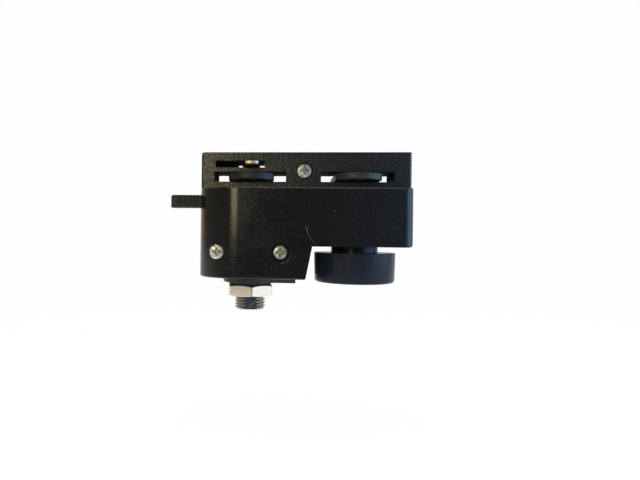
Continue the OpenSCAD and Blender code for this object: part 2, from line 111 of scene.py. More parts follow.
def round_edges(bm, radius, steps, keep=lambda edge: True, clamp=True):
    """Rounds the outer edges that a mould or a cutter leaves slightly soft."""
    edges = [
        e for e in bm.edges
        if len(e.link_faces) == 2 and e.is_convex and e.calc_face_angle() > SHARP_EDGE and keep(e)
    ]
    bmesh.ops.bevel(
        bm, geom=edges, offset=radius, offset_type="OFFSET", segments=steps, profile=0.5,
        affect="EDGES", material=-1, clamp_overlap=clamp, loop_slide=True,
    )


def make_piece(bm, name, materials, body, slot, *nodes):
    """Turns a bmesh into a finished piece that stands for its CAD nodes and rides on its body."""
    mesh = bpy.data.meshes.new(name)
    bmesh.ops.dissolve_degenerate(bm, edges=bm.edges, dist=SPECK_OF_MESH)
    for face in bm.faces:
        face.smooth = True
    bm.to_mesh(mesh)
    bm.free()
    mesh.set_sharp_from_angle(angle=SMOOTH_UNDER)
    for material in materials:
        mesh.materials.append(material)
    piece = bpy.data.objects.new(name, mesh)
    bpy.context.scene.collection.objects.link(piece)
    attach(piece, body)
    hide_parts(*nodes)
    return piece


# Moulded polycarbonate, satin: a tight highlight on near-black, with a few marks of handling and a
# faint pale arc on the front. Its grain is drawn at 0.42 mm, coarser than the real one, so that it
# shows in the render.
BODY_GRAIN = 0.42 * MM
BODY_GRAIN_DEEP = 0.006 * MM
SMUDGE = 7.0 * MM
FRONT_SKIN_Y = -13.0 * MM
SCUFF_CENTRE = (7.2 * MM, 0, -11.7 * MM)
SCUFF_R = 6.36 * MM
SCUFF_HALF_W = (0.04 * MM, 0.1 * MM)
SCUFF_END_X = 3.8 * MM
SCUFF_Z = (-17.2 * MM, -11.9 * MM)
SCUFF_SHARE = (0.22, 0.55)
PALE_ARC_CENTRE = (-7.15 * MM, 0, -20.0 * MM)
PALE_ARC_R = 3.35 * MM
PALE_ARC_HALF_W = 0.12 * MM
SCRATCH_HALF_W = 0.06 * MM
SCRATCHES = [
    ((-14.0 * MM, 0, -13.0 * MM), (-10.9 * MM, 0, -9.0 * MM)),
    ((-7.7 * MM, 0, -8.6 * MM), (-6.5 * MM, 0, -7.1 * MM)),
]
SPECK_R = 0.12 * MM
SPECKS = [
    ((9.32 * MM, 0, -7.18 * MM), 0.6), ((15.41 * MM, 0, -13.89 * MM), 0.12),
    ((15.75 * MM, 0, -6.64 * MM), 0.2), ((-9.70 * MM, 0, -24.84 * MM), 1.0),
    ((-6.36 * MM, 0, -23.27 * MM), 1.0),
]
FAINT = 0.12
MARK_ROUGH = 0.7


def stroke(tree, flat, start, end, half_w):
    """A mask for a thin straight scratch between two places on a face."""
    run = Vector(end) - Vector(start)
    across_way = Vector((-run.z, 0, run.x)).normalized()
    gone = add(tree, "ShaderNodeVectorMath", {0: flat}, {1: start}, operation="SUBTRACT").outputs[0]
    mask = None
    for way, middle, half in ((run / run.length_squared, 0.5, 0.5), (across_way, 0.0, half_w)):
        reach = add(
            tree, "ShaderNodeVectorMath", {0: gone}, {1: way}, operation="DOT_PRODUCT"
        ).outputs["Value"]
        near = add(
            tree, "ShaderNodeMath", {0: reach}, {1: middle, 2: half}, operation="COMPARE"
        ).outputs[0]
        if mask is not None:
            near = add(tree, "ShaderNodeMath", {0: mask, 1: near}, operation="MULTIPLY").outputs[0]
        mask = near
    return mask


body_pc, tree, shader, place = new_material("black polycarbonate, moulded satin")
fine = add(
    tree, "ShaderNodeTexNoise", {"Vector": place},
    {"Scale": 1 / BODY_GRAIN, "Detail": 2.0, "Roughness": 0.5},
).outputs["Fac"]
smudge = add(
    tree, "ShaderNodeTexNoise", {"Vector": place}, {"Scale": 1 / SMUDGE, "Detail": 3.0}
).outputs["Fac"]
axes = add(tree, "ShaderNodeSeparateXYZ", {0: place}).outputs
flat = add(tree, "ShaderNodeCombineXYZ", {"X": axes["X"], "Z": axes["Z"]}).outputs[0]

# The curved scuff, wider and paler at its upper end.
away = add(
    tree, "ShaderNodeVectorMath", {0: flat}, {1: SCUFF_CENTRE}, operation="DISTANCE"
).outputs["Value"]
half_w = add(
    tree, "ShaderNodeMapRange", {"Value": axes["Z"]},
    {"From Min": SCUFF_Z[0], "From Max": SCUFF_Z[1],
     "To Min": SCUFF_HALF_W[0], "To Max": SCUFF_HALF_W[1]},
).outputs[0]
marks = add(
    tree, "ShaderNodeMath", {0: away, 2: half_w}, {1: SCUFF_R}, operation="COMPARE"
).outputs[0]
for axis, end in (("X", SCUFF_END_X), ("Z", SCUFF_Z[1])):
    inside = add(tree, "ShaderNodeMath", {0: axes[axis]}, {1: end}, operation="LESS_THAN").outputs[0]
    marks = add(tree, "ShaderNodeMath", {0: marks, 1: inside}, operation="MULTIPLY").outputs[0]
fade = add(
    tree, "ShaderNodeMapRange", {"Value": axes["Z"]},
    {"From Min": SCUFF_Z[0], "From Max": SCUFF_Z[1],
     "To Min": SCUFF_SHARE[0], "To Max": SCUFF_SHARE[1]},
).outputs[0]
marks = add(tree, "ShaderNodeMath", {0: marks, 1: fade}, operation="MULTIPLY").outputs[0]

# Specks of dust, some hardly paler than the plastic.
for centre, share in SPECKS:
    away = add(
        tree, "ShaderNodeVectorMath", {0: flat}, {1: centre}, operation="DISTANCE"
    ).outputs["Value"]
    speck = add(tree, "ShaderNodeMath", {0: away}, {1: SPECK_R}, operation="LESS_THAN").outputs[0]
    speck = add(tree, "ShaderNodeMath", {0: speck}, {1: share}, operation="MULTIPLY").outputs[0]
    marks = add(tree, "ShaderNodeMath", {0: marks, 1: speck}, operation="MAXIMUM").outputs[0]

# The faint pale arc beside the lower right screw, and two faint scratches.
away = add(
    tree, "ShaderNodeVectorMath", {0: flat}, {1: PALE_ARC_CENTRE}, operation="DISTANCE"
).outputs["Value"]
faint = add(
    tree, "ShaderNodeMath", {0: away}, {1: PALE_ARC_R, 2: PALE_ARC_HALF_W}, operation="COMPARE"
).outputs[0]
right = add(
    tree, "ShaderNodeMath", {0: axes["X"]}, {1: PALE_ARC_CENTRE[0]}, operation="GREATER_THAN"
).outputs[0]
below = add(
    tree, "ShaderNodeMath", {0: axes["Z"]}, {1: PALE_ARC_CENTRE[2]}, operation="LESS_THAN"
).outputs[0]
for side in (right, below):
    faint = add(tree, "ShaderNodeMath", {0: faint, 1: side}, operation="MULTIPLY").outputs[0]
for start, end in SCRATCHES:
    line = stroke(tree, flat, start, end, SCRATCH_HALF_W)
    faint = add(tree, "ShaderNodeMath", {0: faint, 1: line}, operation="MAXIMUM").outputs[0]
faint = add(tree, "ShaderNodeMath", {0: faint}, {1: FAINT}, operation="MULTIPLY").outputs[0]
marks = add(tree, "ShaderNodeMath", {0: marks, 1: faint}, operation="MAXIMUM").outputs[0]
on_front = add(
    tree, "ShaderNodeMath", {0: axes["Y"]}, {1: FRONT_SKIN_Y}, operation="LESS_THAN"
).outputs[0]
marks = add(tree, "ShaderNodeMath", {0: marks, 1: on_front}, operation="MULTIPLY").outputs[0]

tint = add(
    tree, "ShaderNodeMix", {0: fine}, {6: srgb("#161616"), 7: srgb("#1c1b1b")}, data_type="RGBA"
).outputs[2]
tint = add(
    tree, "ShaderNodeMix", {0: marks, 6: tint}, {7: srgb("#7f848c")}, data_type="RGBA"
).outputs[2]
tree.links.new(tint, shader.inputs["Base Color"])
speckled = add(tree, "ShaderNodeMath", {0: fine, 1: smudge}, operation="MULTIPLY").outputs[0]
rough = add(
    tree, "ShaderNodeMapRange", {"Value": speckled},
    {"From Min": 0.12, "From Max": 0.38, "To Min": 0.12, "To Max": 0.24},
).outputs[0]
rough = add(tree, "ShaderNodeMix", {0: marks, 2: rough}, {3: MARK_ROUGH}).outputs[0]
tree.links.new(rough, shader.inputs["Roughness"])
glint = add(
    tree, "ShaderNodeMapRange", {"Value": fine},
    {"From Min": 0.36, "From Max": 0.64, "To Min": 0.25, "To Max": 0.36},
).outputs[0]
tree.links.new(glint, shader.inputs["Specular IOR Level"])
bump = add(tree, "ShaderNodeBump", {"Height": fine}, {"Strength": 1.0, "Distance": BODY_GRAIN_DEEP})
tree.links.new(bump.outputs[0], shader.inputs["Normal"])
shader.inputs["IOR"].default_value = POLYCARBONATE_IOR

# Moulded polycarbonate, spark-eroded: a dull, speckled sheen that fades along the block. Its grain is
# drawn at 0.8 mm, coarser than the real one, so that it shows in the render.
BLOCK_GRAIN = 0.8 * MM
BLOCK_GRAIN_DEEP = 0.11 * MM

block_pc, tree, shader, place = new_material("black polycarbonate, moulded with spark-eroded grain")
coarse = add(
    tree, "ShaderNodeTexNoise", {"Vector": place},
    {"Scale": 1 / BLOCK_GRAIN, "Detail": 3.0, "Roughness": 0.65},
).outputs["Fac"]
speckle = add(
    tree, "ShaderNodeMapRange", {"Value": coarse}, {"From Min": 0.38, "From Max": 0.62}
).outputs[0]
tint = add(
    tree, "ShaderNodeMix", {0: speckle}, {6: srgb("#171717"), 7: srgb("#1f1f1e")}, data_type="RGBA"
).outputs[2]
tree.links.new(tint, shader.inputs["Base Color"])
rough = add(
    tree, "ShaderNodeMapRange", {"Value": speckle}, {"To Min": 0.34, "To Max": 0.26}
).outputs[0]
tree.links.new(rough, shader.inputs["Roughness"])
glint = add(
    tree, "ShaderNodeMapRange", {"Value": speckle}, {"To Min": 0.38, "To Max": 0.62}
).outputs[0]
tree.links.new(glint, shader.inputs["Specular IOR Level"])
bump = add(tree, "ShaderNodeBump", {"Height": coarse}, {"Strength": 1.0, "Distance": BLOCK_GRAIN_DEEP})
tree.links.new(bump.outputs[0], shader.inputs["Normal"])
shader.inputs["IOR"].default_value = POLYCARBONATE_IOR

# Moulded polycarbonate, cored: the faces inside the slots and pockets are rough and dull. Their
# blue-grey is painted light: it stands in for light scattered into the slots, where the plastic is
# black.
CORE_GRAIN = 0.8 * MM

core_pc_painted_light, tree, shader, place = new_material("black polycarbonate, moulded core faces")
coarse = add(
    tree, "ShaderNodeTexNoise", {"Vector": place}, {"Scale": 1 / CORE_GRAIN, "Detail": 2.0}
).outputs["Fac"]
# Painted scattered light: these blue-greys stand in for light inside the slots.
tint = add(
    tree, "ShaderNodeMix", {0: coarse}, {6: srgb("#2e3038"), 7: srgb("#3b3d46")}, data_type="RGBA"
).outputs[2]
tree.links.new(tint, shader.inputs["Base Color"])
shader.inputs["Roughness"].default_value = 0.85
shader.inputs["Specular IOR Level"].default_value = 0.2


def lies_in(edge, axis, *planes):
    """True for an edge that lies in one of the planes across an axis."""
    return any(all(abs(v.co[axis] - at) < SAME_PLANE for v in edge.verts) for at in planes)


def shade_half_round(mesh, centre_x, radius):
    """Points the shading of the half-round end out from its axis, with a slight crease at the flats."""
    normals = [corner.vector.copy() for corner in mesh.corner_normals]
    for face in mesh.polygons:
        out = Vector((face.center.x - centre_x, face.center.y, 0))
        aligned = face.normal.dot(out.normalized()) > ROUND_ALIGNED
        if aligned and abs(out.length - radius) < ROUND_PLAY:
            for i in face.loop_indices:
                point = mesh.vertices[mesh.loops[i].vertex_index].co
                way = Vector((point.x - centre_x, point.y, 0)).normalized()
                way.x -= ROUND_LEAN * (1 - abs(way.x))
                normals[i] = way.normalized()
    mesh.normals_split_custom_set(normals)


def housing_half(node, name):
    """One half: softened outer edges and slot mouths, three moulded finishes, painted light in slots.
    """
    bm = merged_copy(node)
    low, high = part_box(node)
    face_y = max(abs(low.y), abs(high.y))
    block_y = max(abs(v.co.y) for v in bm.verts if v.co.z > LEDGE_Z + SAME_PLANE)
    skin = [v.co for v in bm.verts if abs(abs(v.co.y) - face_y) < SAME_PLANE]
    leg_z = min(p.z for p in skin)
    arm_z = min(p.z for p in skin if p.x > high.x / 2)

    round_edges(bm, LEG_EDGE, 4, lambda e: lies_in(e, 2, leg_z))
    round_edges(bm, LEDGE_EDGE, 4, lambda e: lies_in(e, 2, LEDGE_Z), clamp=False)
    round_edges(
        bm, OUTLINE_EDGE, 3,
        lambda e: lies_in(e, 1, face_y, -face_y) or lies_in(e, 2, arm_z, high.z),
    )
    round_edges(bm, MOUTH_EDGE, 2, lambda e: lies_in(e, 1, block_y, -block_y))
    round_edges(bm, PAD_EDGE, 3, lambda e: lies_in(e, 2, low.z))
    for face in bm.faces:
        middle = face.calc_center_median()
        looks_out = not low.x < (middle + face.normal * MM).x < high.x
        if middle.z <= LEDGE_Z + SAME_PLANE:
            face.material_index = 0
        elif abs(middle.y) > block_y - OUTLINE_EDGE or middle.z > high.z - OUTLINE_EDGE or looks_out:
            face.material_index = 1
        else:
            face.material_index = 2
    materials = (body_pc, block_pc, core_pc_painted_light)
    piece = make_piece(bm, name, materials, "housing", "housing_plastic", node)
    shade_half_round(piece.data, low.x + face_y, face_y)


housing_half("housing_rear", "rear_half")

# Lamp nipple with its two nuts and the washer. The real nipple is a turned steel tube, nickel plated,
# with an M10 x 1 thread and one flat milled along it; the nuts clamp it in the leg through the washer.

PITCH = 1.0 * MM
CREST_R = 5.0 * MM
ROOT_R = 4.45 * MM
ENGAGED_R = 4.7 * MM
THREAD_FORM = ((ROOT_R, 0.0), (ROOT_R, 0.12), (CREST_R, 0.44), (CREST_R, 0.56), (ROOT_R, 0.88))
THREAD_IN_NUT = 0.4 * MM
TURNS_BELOW = 1.5
SPARE_TURNS = 3
BORE_R = 3.5 * MM
BORE_CHAMFER = 0.5 * MM
END_CHAMFER = 0.5 * MM
TUBE_CHAMFER = 0.4 * MM
TUBE_OVERLAP = 0.2 * MM
FLAT_OUT = 4.05 * MM
FLAT_TURN = math.radians(8)
FLAT_BELOW_NUT = 0.1 * MM
FLAT_ALIGNED = 0.999
FLAT_PLAY = 0.01 * MM
PAST = 1.0 * MM
CUTTER_REACH = 9 * MM
TURN_STEPS = 96
SPIN_WELD = 0.0005 * MM
THREAD_WELD = 0.004 * MM
CUT_WELD = 0.003 * MM
CUT_PLAY = 0.0001 * MM


def turned(profile, centre, axis, steps=TURN_STEPS):
    """A solid of revolution from (radius, along) points, spun about an axis through the centre."""
    bm = bmesh.new()
    axis = Vector(axis).normalized()
    side = axis.orthogonal().normalized()
    verts = [bm.verts.new(Vector(centre) + side * r + axis * a) for r, a in profile]
    edges = [bm.edges.new(pair) for pair in zip(verts, verts[1:])]
    bmesh.ops.spin(
        bm, geom=verts + edges, cent=centre, axis=axis, angle=math.tau, steps=steps, use_merge=True
    )
    bmesh.ops.remove_doubles(bm, verts=bm.verts, dist=SPIN_WELD)
    bmesh.ops.recalc_face_normals(bm, faces=bm.faces)
    return bm


def combine(operation, bm, *others):
    """Joins the other solids to the first one or takes them out of it."""
    made = []
    for solid in (bm, *others):
        mesh = bpy.data.meshes.new("blank")
        solid.to_mesh(mesh)
        solid.free()
        made.append(bpy.data.objects.new("blank", mesh))
        bpy.context.scene.collection.objects.link(made[-1])
    for other in made[1:]:
        step = made[0].modifiers.new("step", "BOOLEAN")
        step.object, step.operation, step.solver = other, operation, "EXACT"
    done = made[0].evaluated_get(bpy.context.evaluated_depsgraph_get())
    bm = bmesh.new()
    bm.from_mesh(done.to_mesh())
    bmesh.ops.remove_doubles(bm, verts=bm.verts, dist=CUT_WELD)
    bmesh.ops.dissolve_degenerate(bm, edges=bm.edges, dist=CUT_WELD)
    for blank in made:
        bpy.data.objects.remove(blank)
    return bm


def box_solid(low, high):
    """A plain box between two corners, as a cutter."""
    bm = bmesh.new()
    bmesh.ops.create_cube(bm, size=1.0)
    low, high = Vector(low), Vector(high)
    bmesh.ops.scale(bm, vec=high - low, verts=bm.verts)
    bmesh.ops.translate(bm, vec=(low + high) / 2, verts=bm.verts)
    return bm


# Nickel plate on turned steel: a bright, slightly warm mirror with fine turning lines round the axis,
# given as lines per metre along X, Y and Z.
TURNING_LINES = (600, 600, 9000)
TURNING_DEEP = 0.02 * MM
NICKEL_STAIN = 3.0 * MM

nickel, tree, shader, place = new_material("nickel-plated steel, turned")
lines = add(
    tree, "ShaderNodeTexNoise",
    {"Vector": add(tree, "ShaderNodeMapping", {0: place}, {3: TURNING_LINES}).outputs[0]},
    {"Scale": 1.0, "Detail": 2.0},
).outputs["Fac"]
stain = add(
    tree, "ShaderNodeTexNoise", {"Vector": place}, {"Scale": 1 / NICKEL_STAIN, "Detail": 3.0}
).outputs["Fac"]
plate = add(
    tree, "ShaderNodeMix", {0: stain}, {6: srgb("#fbe9d2"), 7: srgb("#ecd9bf")}, data_type="RGBA"
).outputs[2]
tree.links.new(plate, shader.inputs["Base Color"])
rough = add(
    tree, "ShaderNodeMapRange", {"Value": lines}, {"To Min": 0.12, "To Max": 0.26}
).outputs[0]
tree.links.new(rough, shader.inputs["Roughness"])
shader.inputs["Metallic"].default_value = 1.0
bump = add(tree, "ShaderNodeBump", {"Height": lines}, {"Strength": 0.12, "Distance": TURNING_DEEP})
tree.links.new(bump.outputs[0], shader.inputs["Normal"])

# The same plate in the thread, dulled by oil.
THREAD_STAIN = 1.5 * MM

thread_nickel, tree, shader, place = new_material("nickel-plated steel, thread cut")
stain = add(
    tree, "ShaderNodeTexNoise", {"Vector": place}, {"Scale": 1 / THREAD_STAIN, "Detail": 3.0}
).outputs["Fac"]
plate = add(
    tree, "ShaderNodeMix", {0: stain}, {6: srgb("#b3aaa0"), 7: srgb("#877e74")}, data_type="RGBA"
).outputs[2]
tree.links.new(plate, shader.inputs["Base Color"])
rough = add(tree, "ShaderNodeMapRange", {"Value": stain}, {"To Min": 0.2, "To Max": 0.36}).outputs[0]
tree.links.new(rough, shader.inputs["Roughness"])
shader.inputs["Metallic"].default_value = 1.0

# Bare milled steel on the flat, with cutter marks and one slanting scratch. It is darker than the
# plate, and its dark blue-grey is partly painted reflection of the dark room that the flat faces.
MILL_LINES = (400, 400, 2600)
FLAT_SCRATCH = ((-17.07 * MM, 0, -38.18 * MM), (-14.76 * MM, 0, -35.87 * MM))
FLAT_SCRATCH_HALF_W = 0.045 * MM

milled_steel_painted_dark, tree, shader, place = new_material("bare steel, milled, with painted dark reflection")
strokes = add(
    tree, "ShaderNodeTexNoise",
    {"Vector": add(tree, "ShaderNodeMapping", {0: place}, {3: MILL_LINES}).outputs[0]},
    {"Scale": 1.0, "Detail": 2.0},
).outputs["Fac"]
axes = add(tree, "ShaderNodeSeparateXYZ", {0: place}).outputs
flat = add(tree, "ShaderNodeCombineXYZ", {"X": axes["X"], "Z": axes["Z"]}).outputs[0]
scratch = stroke(tree, flat, FLAT_SCRATCH[0], FLAT_SCRATCH[1], FLAT_SCRATCH_HALF_W)
# Painted reflection: the dark blue-grey stands in for the dark room mirrored in the flat.
steel = add(
    tree, "ShaderNodeMix", {0: strokes}, {6: srgb("#3c4147"), 7: srgb("#52585f")}, data_type="RGBA"
).outputs[2]
steel = add(
    tree, "ShaderNodeMix", {0: scratch, 6: steel}, {7: srgb("#b4b7ba")}, data_type="RGBA"
).outputs[2]
tree.links.new(steel, shader.inputs["Base Color"])
rough = add(tree, "ShaderNodeMapRange", {"Value": strokes}, {"To Min": 0.18, "To Max": 0.3}).outputs[0]
tree.links.new(rough, shader.inputs["Roughness"])
shader.inputs["Metallic"].default_value = 1.0

low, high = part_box("nipple")
nut_low, nut_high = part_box("outer_nut")
axis_x, axis_y = (nut_low.x + nut_high.x) / 2, (nut_low.y + nut_high.y) / 2
axis_at = (axis_x, axis_y, 0)
UP = (0, 0, 1)

bm = bmesh.new()
thread_top = nut_high.z - THREAD_IN_NUT
turns = int((thread_top - low.z) / PITCH) + SPARE_TURNS
start_z = low.z - TURNS_BELOW * PITCH
points = []
for turn in range(turns):
    foot = start_z + turn * PITCH
    points += [(r, foot + share * PITCH) for r, share in THREAD_FORM]
points.append((ROOT_R, start_z + turns * PITCH))
verts = [bm.verts.new((axis_x + r, axis_y, z)) for r, z in points]
edges = [bm.edges.new(pair) for pair in zip(verts, verts[1:])]
bmesh.ops.spin(
    bm, geom=verts + edges, cent=axis_at, axis=UP, angle=math.tau,
    dvec=(0, 0, PITCH / TURN_STEPS), steps=TURN_STEPS, use_merge=False,
)
bmesh.ops.remove_doubles(bm, verts=bm.verts, dist=THREAD_WELD)
for z, way in ((low.z, -1), (thread_top, 1)):
    bmesh.ops.bisect_plane(
        bm, geom=bm.verts[:] + bm.edges[:] + bm.faces[:], dist=CUT_PLAY,
        plane_co=(0, 0, z), plane_no=(0, 0, way), clear_outer=True,
    )
    rim = [e for e in bm.edges if e.is_boundary and lies_in(e, 2, z)]
    bmesh.ops.holes_fill(bm, edges=rim, sides=0)
bmesh.ops.recalc_face_normals(bm, faces=bm.faces)
flat_cutter = box_solid(
    (-CUTTER_REACH, -CUTTER_REACH, low.z - 2 * PAST),
    (CUTTER_REACH, -FLAT_OUT, nut_low.z - FLAT_BELOW_NUT),
)
bmesh.ops.rotate(
    flat_cutter, verts=flat_cutter.verts, cent=(0, 0, 0), matrix=Matrix.Rotation(FLAT_TURN, 3, "Z")
)
bmesh.ops.translate(flat_cutter, verts=flat_cutter.verts, vec=axis_at)
mouth_r = BORE_R + BORE_CHAMFER
bore_cutter = turned(
    [(0, low.z - PAST), (mouth_r, low.z - PAST), (mouth_r, low.z), (BORE_R, low.z + BORE_CHAMFER),
     (BORE_R, thread_top + PAST), (0, thread_top + PAST)],
    axis_at, UP,
)
ring_r, ring_z = CREST_R - END_CHAMFER - PAST / 2, low.z - PAST / 2
end_cutter = turned(
    [(ring_r, ring_z), (CREST_R + PAST, ring_z), (CREST_R + PAST, low.z + END_CHAMFER + PAST),
     (ring_r, ring_z)],
    axis_at, UP,
)
bm = combine("DIFFERENCE", bm, bore_cutter, end_cutter, flat_cutter)
tube_z = thread_top - TUBE_OVERLAP
upper = turned(
    [(BORE_R, tube_z), (ENGAGED_R, tube_z), (ENGAGED_R, high.z - TUBE_CHAMFER),
     (ENGAGED_R - TUBE_CHAMFER, high.z), (BORE_R, high.z), (BORE_R, tube_z)],
    axis_at, UP,
)
bm = combine("UNION", bm, upper)
out_of_flat = Vector((math.sin(FLAT_TURN), -math.cos(FLAT_TURN), 0))
bm.normal_update()
for face in bm.faces:
    reach = (face.calc_center_median() - Vector(axis_at)).dot(out_of_flat)
    on_flat = face.normal.dot(out_of_flat) > FLAT_ALIGNED and abs(reach - FLAT_OUT) < FLAT_PLAY
    face.material_index = 1 if on_flat else 0
make_piece(bm, "threaded_nipple", (thread_nickel, milled_steel_painted_dark), "housing", "nickel_steel", "nipple")

NUT_CORNER = 0.4 * MM
NUT_EDGE = 0.1 * MM
UPRIGHT = 0.99


def stands_up(edge):
    """True for an upright edge, a corner of the hexagon."""
    return abs((edge.verts[0].co - edge.verts[1].co).normalized().z) > UPRIGHT


for node, name in (("inner_nut", "clamp_nut_inside"), ("outer_nut", "clamp_nut_below")):
    bm = merged_copy(node)
    round_edges(bm, NUT_CORNER, 4, stands_up)
    round_edges(bm, NUT_EDGE, 2)
    make_piece(bm, name, (nickel,), "housing", "nickel_steel", node)

# Pressed fibre, black: dull and slightly fuzzy, with no highlight of its own.
FUZZ = 0.4 * MM
FUZZ_DEEP = 0.05 * MM
WASHER_EDGE = 0.15 * MM

fibre, tree, shader, place = new_material("black fibre, pressed")
fuzz = add(
    tree, "ShaderNodeTexNoise", {"Vector": place}, {"Scale": 1 / FUZZ, "Detail": 4.0}
).outputs["Fac"]
tone = add(
    tree, "ShaderNodeMix", {0: fuzz}, {6: srgb("#0d0d0e"), 7: srgb("#1d1c1c")}, data_type="RGBA"
).outputs[2]
tree.links.new(tone, shader.inputs["Base Color"])
shader.inputs["Roughness"].default_value = 0.8
bump = add(tree, "ShaderNodeBump", {"Height": fuzz}, {"Strength": 0.3, "Distance": FUZZ_DEEP})
tree.links.new(bump.outputs[0], shader.inputs["Normal"])
bm = merged_copy("nut_washer")
round_edges(bm, WASHER_EDGE, 2)
make_piece(bm, "fibre_washer", (fibre,), "housing", "washer_fibre", "nut_washer")

# Contact spindle: a moulded rotor that carries the left cam and two copper tongues, closed by a cap
# and turned by the lever. It is dropped into the bearings before the front half goes on.

# Moulded polycarbonate from a fine-ground tool: black without grain, with a broad, soft highlight.
FLOW = 1.2 * MM
FLOW_DEEP = 0.05 * MM
ROTOR_EDGE = 0.2 * MM

cam_pc, tree, shader, place = new_material("black polycarbonate, moulded smooth")
flow = add(
    tree, "ShaderNodeTexNoise", {"Vector": place}, {"Scale": 1 / FLOW, "Detail": 4.0}
).outputs["Fac"]
tone = add(
    tree, "ShaderNodeMix", {0: flow}, {6: srgb("#1f1f1f"), 7: srgb("#282727")}, data_type="RGBA"
).outputs[2]
tree.links.new(tone, shader.inputs["Base Color"])
rough = add(tree, "ShaderNodeMapRange", {"Value": flow}, {"To Min": 0.36, "To Max": 0.5}).outputs[0]
tree.links.new(rough, shader.inputs["Roughness"])
shader.inputs["IOR"].default_value = 1.55
shader.inputs["Specular IOR Level"].default_value = 0.22
bump = add(tree, "ShaderNodeBump", {"Height": flow}, {"Strength": 0.1, "Distance": FLOW_DEEP})
tree.links.new(bump.outputs[0], shader.inputs["Normal"])

for node, name in (("contact_rotor", "contact_rotor_moulding"), ("rotor_cap", "rotor_closing_cap")):
    bm = merged_copy(node)
    round_edges(bm, ROTOR_EDGE, 2)
    make_piece(bm, name, (cam_pc,), "contact_spindle", "cam_plastic", node)

# Copper strip, blanked and bent: pale peach where it is rubbed bright, with fine lines along the strip,
# given as lines per metre along X, Y and Z.
ROLL_LINES = (5000, 700, 700)
TONGUE_EDGE = 0.16 * MM

copper, tree, shader, place = new_material("copper strip, rolled and blanked")
roll = add(
    tree, "ShaderNodeTexNoise",
    {"Vector": add(tree, "ShaderNodeMapping", {0: place}, {3: ROLL_LINES}).outputs[0]},
    {"Scale": 1.0, "Detail": 3.0},
).outputs["Fac"]
tone = add(
    tree, "ShaderNodeMix", {0: roll}, {6: srgb("#dcc7b2"), 7: srgb("#cbab8e")}, data_type="RGBA"
).outputs[2]
tree.links.new(tone, shader.inputs["Base Color"])
shader.inputs["Metallic"].default_value = 1.0
rough = add(tree, "ShaderNodeMapRange", {"Value": roll}, {"To Min": 0.34, "To Max": 0.5}).outputs[0]
tree.links.new(rough, shader.inputs["Roughness"])
for node, name in (("line_contact", "line_tongue"), ("neutral_contact", "neutral_tongue")):
    bm = merged_copy(node)
    round_edges(bm, TONGUE_EDGE, 2)
    make_piece(bm, name, (copper,), "contact_spindle", "copper", node)

# Acetal lever, moulded: a flat dark grey with a dry, fine grain.
LEVER_GRAIN = 0.35 * MM
LEVER_GRAIN_DEEP = 0.05 * MM
LEVER_EDGE = 0.16 * MM

acetal, tree, shader, place = new_material("dark grey acetal, moulded matte")
dry = add(
    tree, "ShaderNodeTexNoise", {"Vector": place}, {"Scale": 1 / LEVER_GRAIN, "Detail": 3.0}
).outputs["Fac"]
tone = add(
    tree, "ShaderNodeMix", {0: dry}, {6: srgb("#1d1f1e"), 7: srgb("#2a2c2a")}, data_type="RGBA"
).outputs[2]
tree.links.new(tone, shader.inputs["Base Color"])
shader.inputs["Roughness"].default_value = 0.55
shader.inputs["IOR"].default_value = 1.48
shader.inputs["Specular IOR Level"].default_value = 0.32
bump = add(tree, "ShaderNodeBump", {"Height": dry}, {"Strength": 0.2, "Distance": LEVER_GRAIN_DEEP})
tree.links.new(bump.outputs[0], shader.inputs["Normal"])
bm = merged_copy("switch_lever")
round_edges(bm, LEVER_EDGE, 2)
make_piece(bm, "turning_lever", (acetal,), "contact_spindle", "lever_plastic", "switch_lever")

# Lock spindle: the knob with its neck and stem is one moulding in polycarbonate, and the right cam, in
# polyamide, is screwed on its end inside the block.

# Moulded polycarbonate, drawn from the mould: blue-black, with faint upright lines on the knob's side,
# given as lines per metre along X, Y and Z. The weld closes a hairline step at its rounded lower rim.
DRAW_LINES = (1800, 1800, 60)
DRAW_DEEP = 0.05 * MM
KNOB_WELD = 0.03 * MM
KNOB_EDGE = 0.2 * MM

knob_pc, tree, shader, place = new_material("black polycarbonate, moulded with draw lines")
draw = add(
    tree, "ShaderNodeTexNoise",
    {"Vector": add(tree, "ShaderNodeMapping", {0: place}, {3: DRAW_LINES}).outputs[0]},
    {"Scale": 1.0, "Detail": 3.0},
).outputs["Fac"]
tone = add(
    tree, "ShaderNodeMix", {0: draw}, {6: srgb("#191d26"), 7: srgb("#1f242f")}, data_type="RGBA"
).outputs[2]
tree.links.new(tone, shader.inputs["Base Color"])
rough = add(
    tree, "ShaderNodeMapRange", {"Value": draw},
    {"From Min": 0.3, "From Max": 0.7, "To Min": 0.22, "To Max": 0.28},
).outputs[0]
tree.links.new(rough, shader.inputs["Roughness"])
shader.inputs["IOR"].default_value = POLYCARBONATE_IOR
shader.inputs["Specular IOR Level"].default_value = 0.155
bump = add(tree, "ShaderNodeBump", {"Height": draw}, {"Strength": 0.08, "Distance": DRAW_DEEP})
tree.links.new(bump.outputs[0], shader.inputs["Normal"])
bm = merged_copy("lock_knob", KNOB_WELD)
round_edges(bm, KNOB_EDGE, 3)
make_piece(bm, "locking_knob", (knob_pc,), "lock_spindle", "knob_plastic", "lock_knob")

# Moulded polyamide, matte: a softer, greyer black than the other cam.
PA_GRAIN = 0.5 * MM
PA_GRAIN_DEEP = 0.05 * MM
CAM_EDGE = 0.2 * MM
CAM_SCREW_EDGE = 0.12 * MM

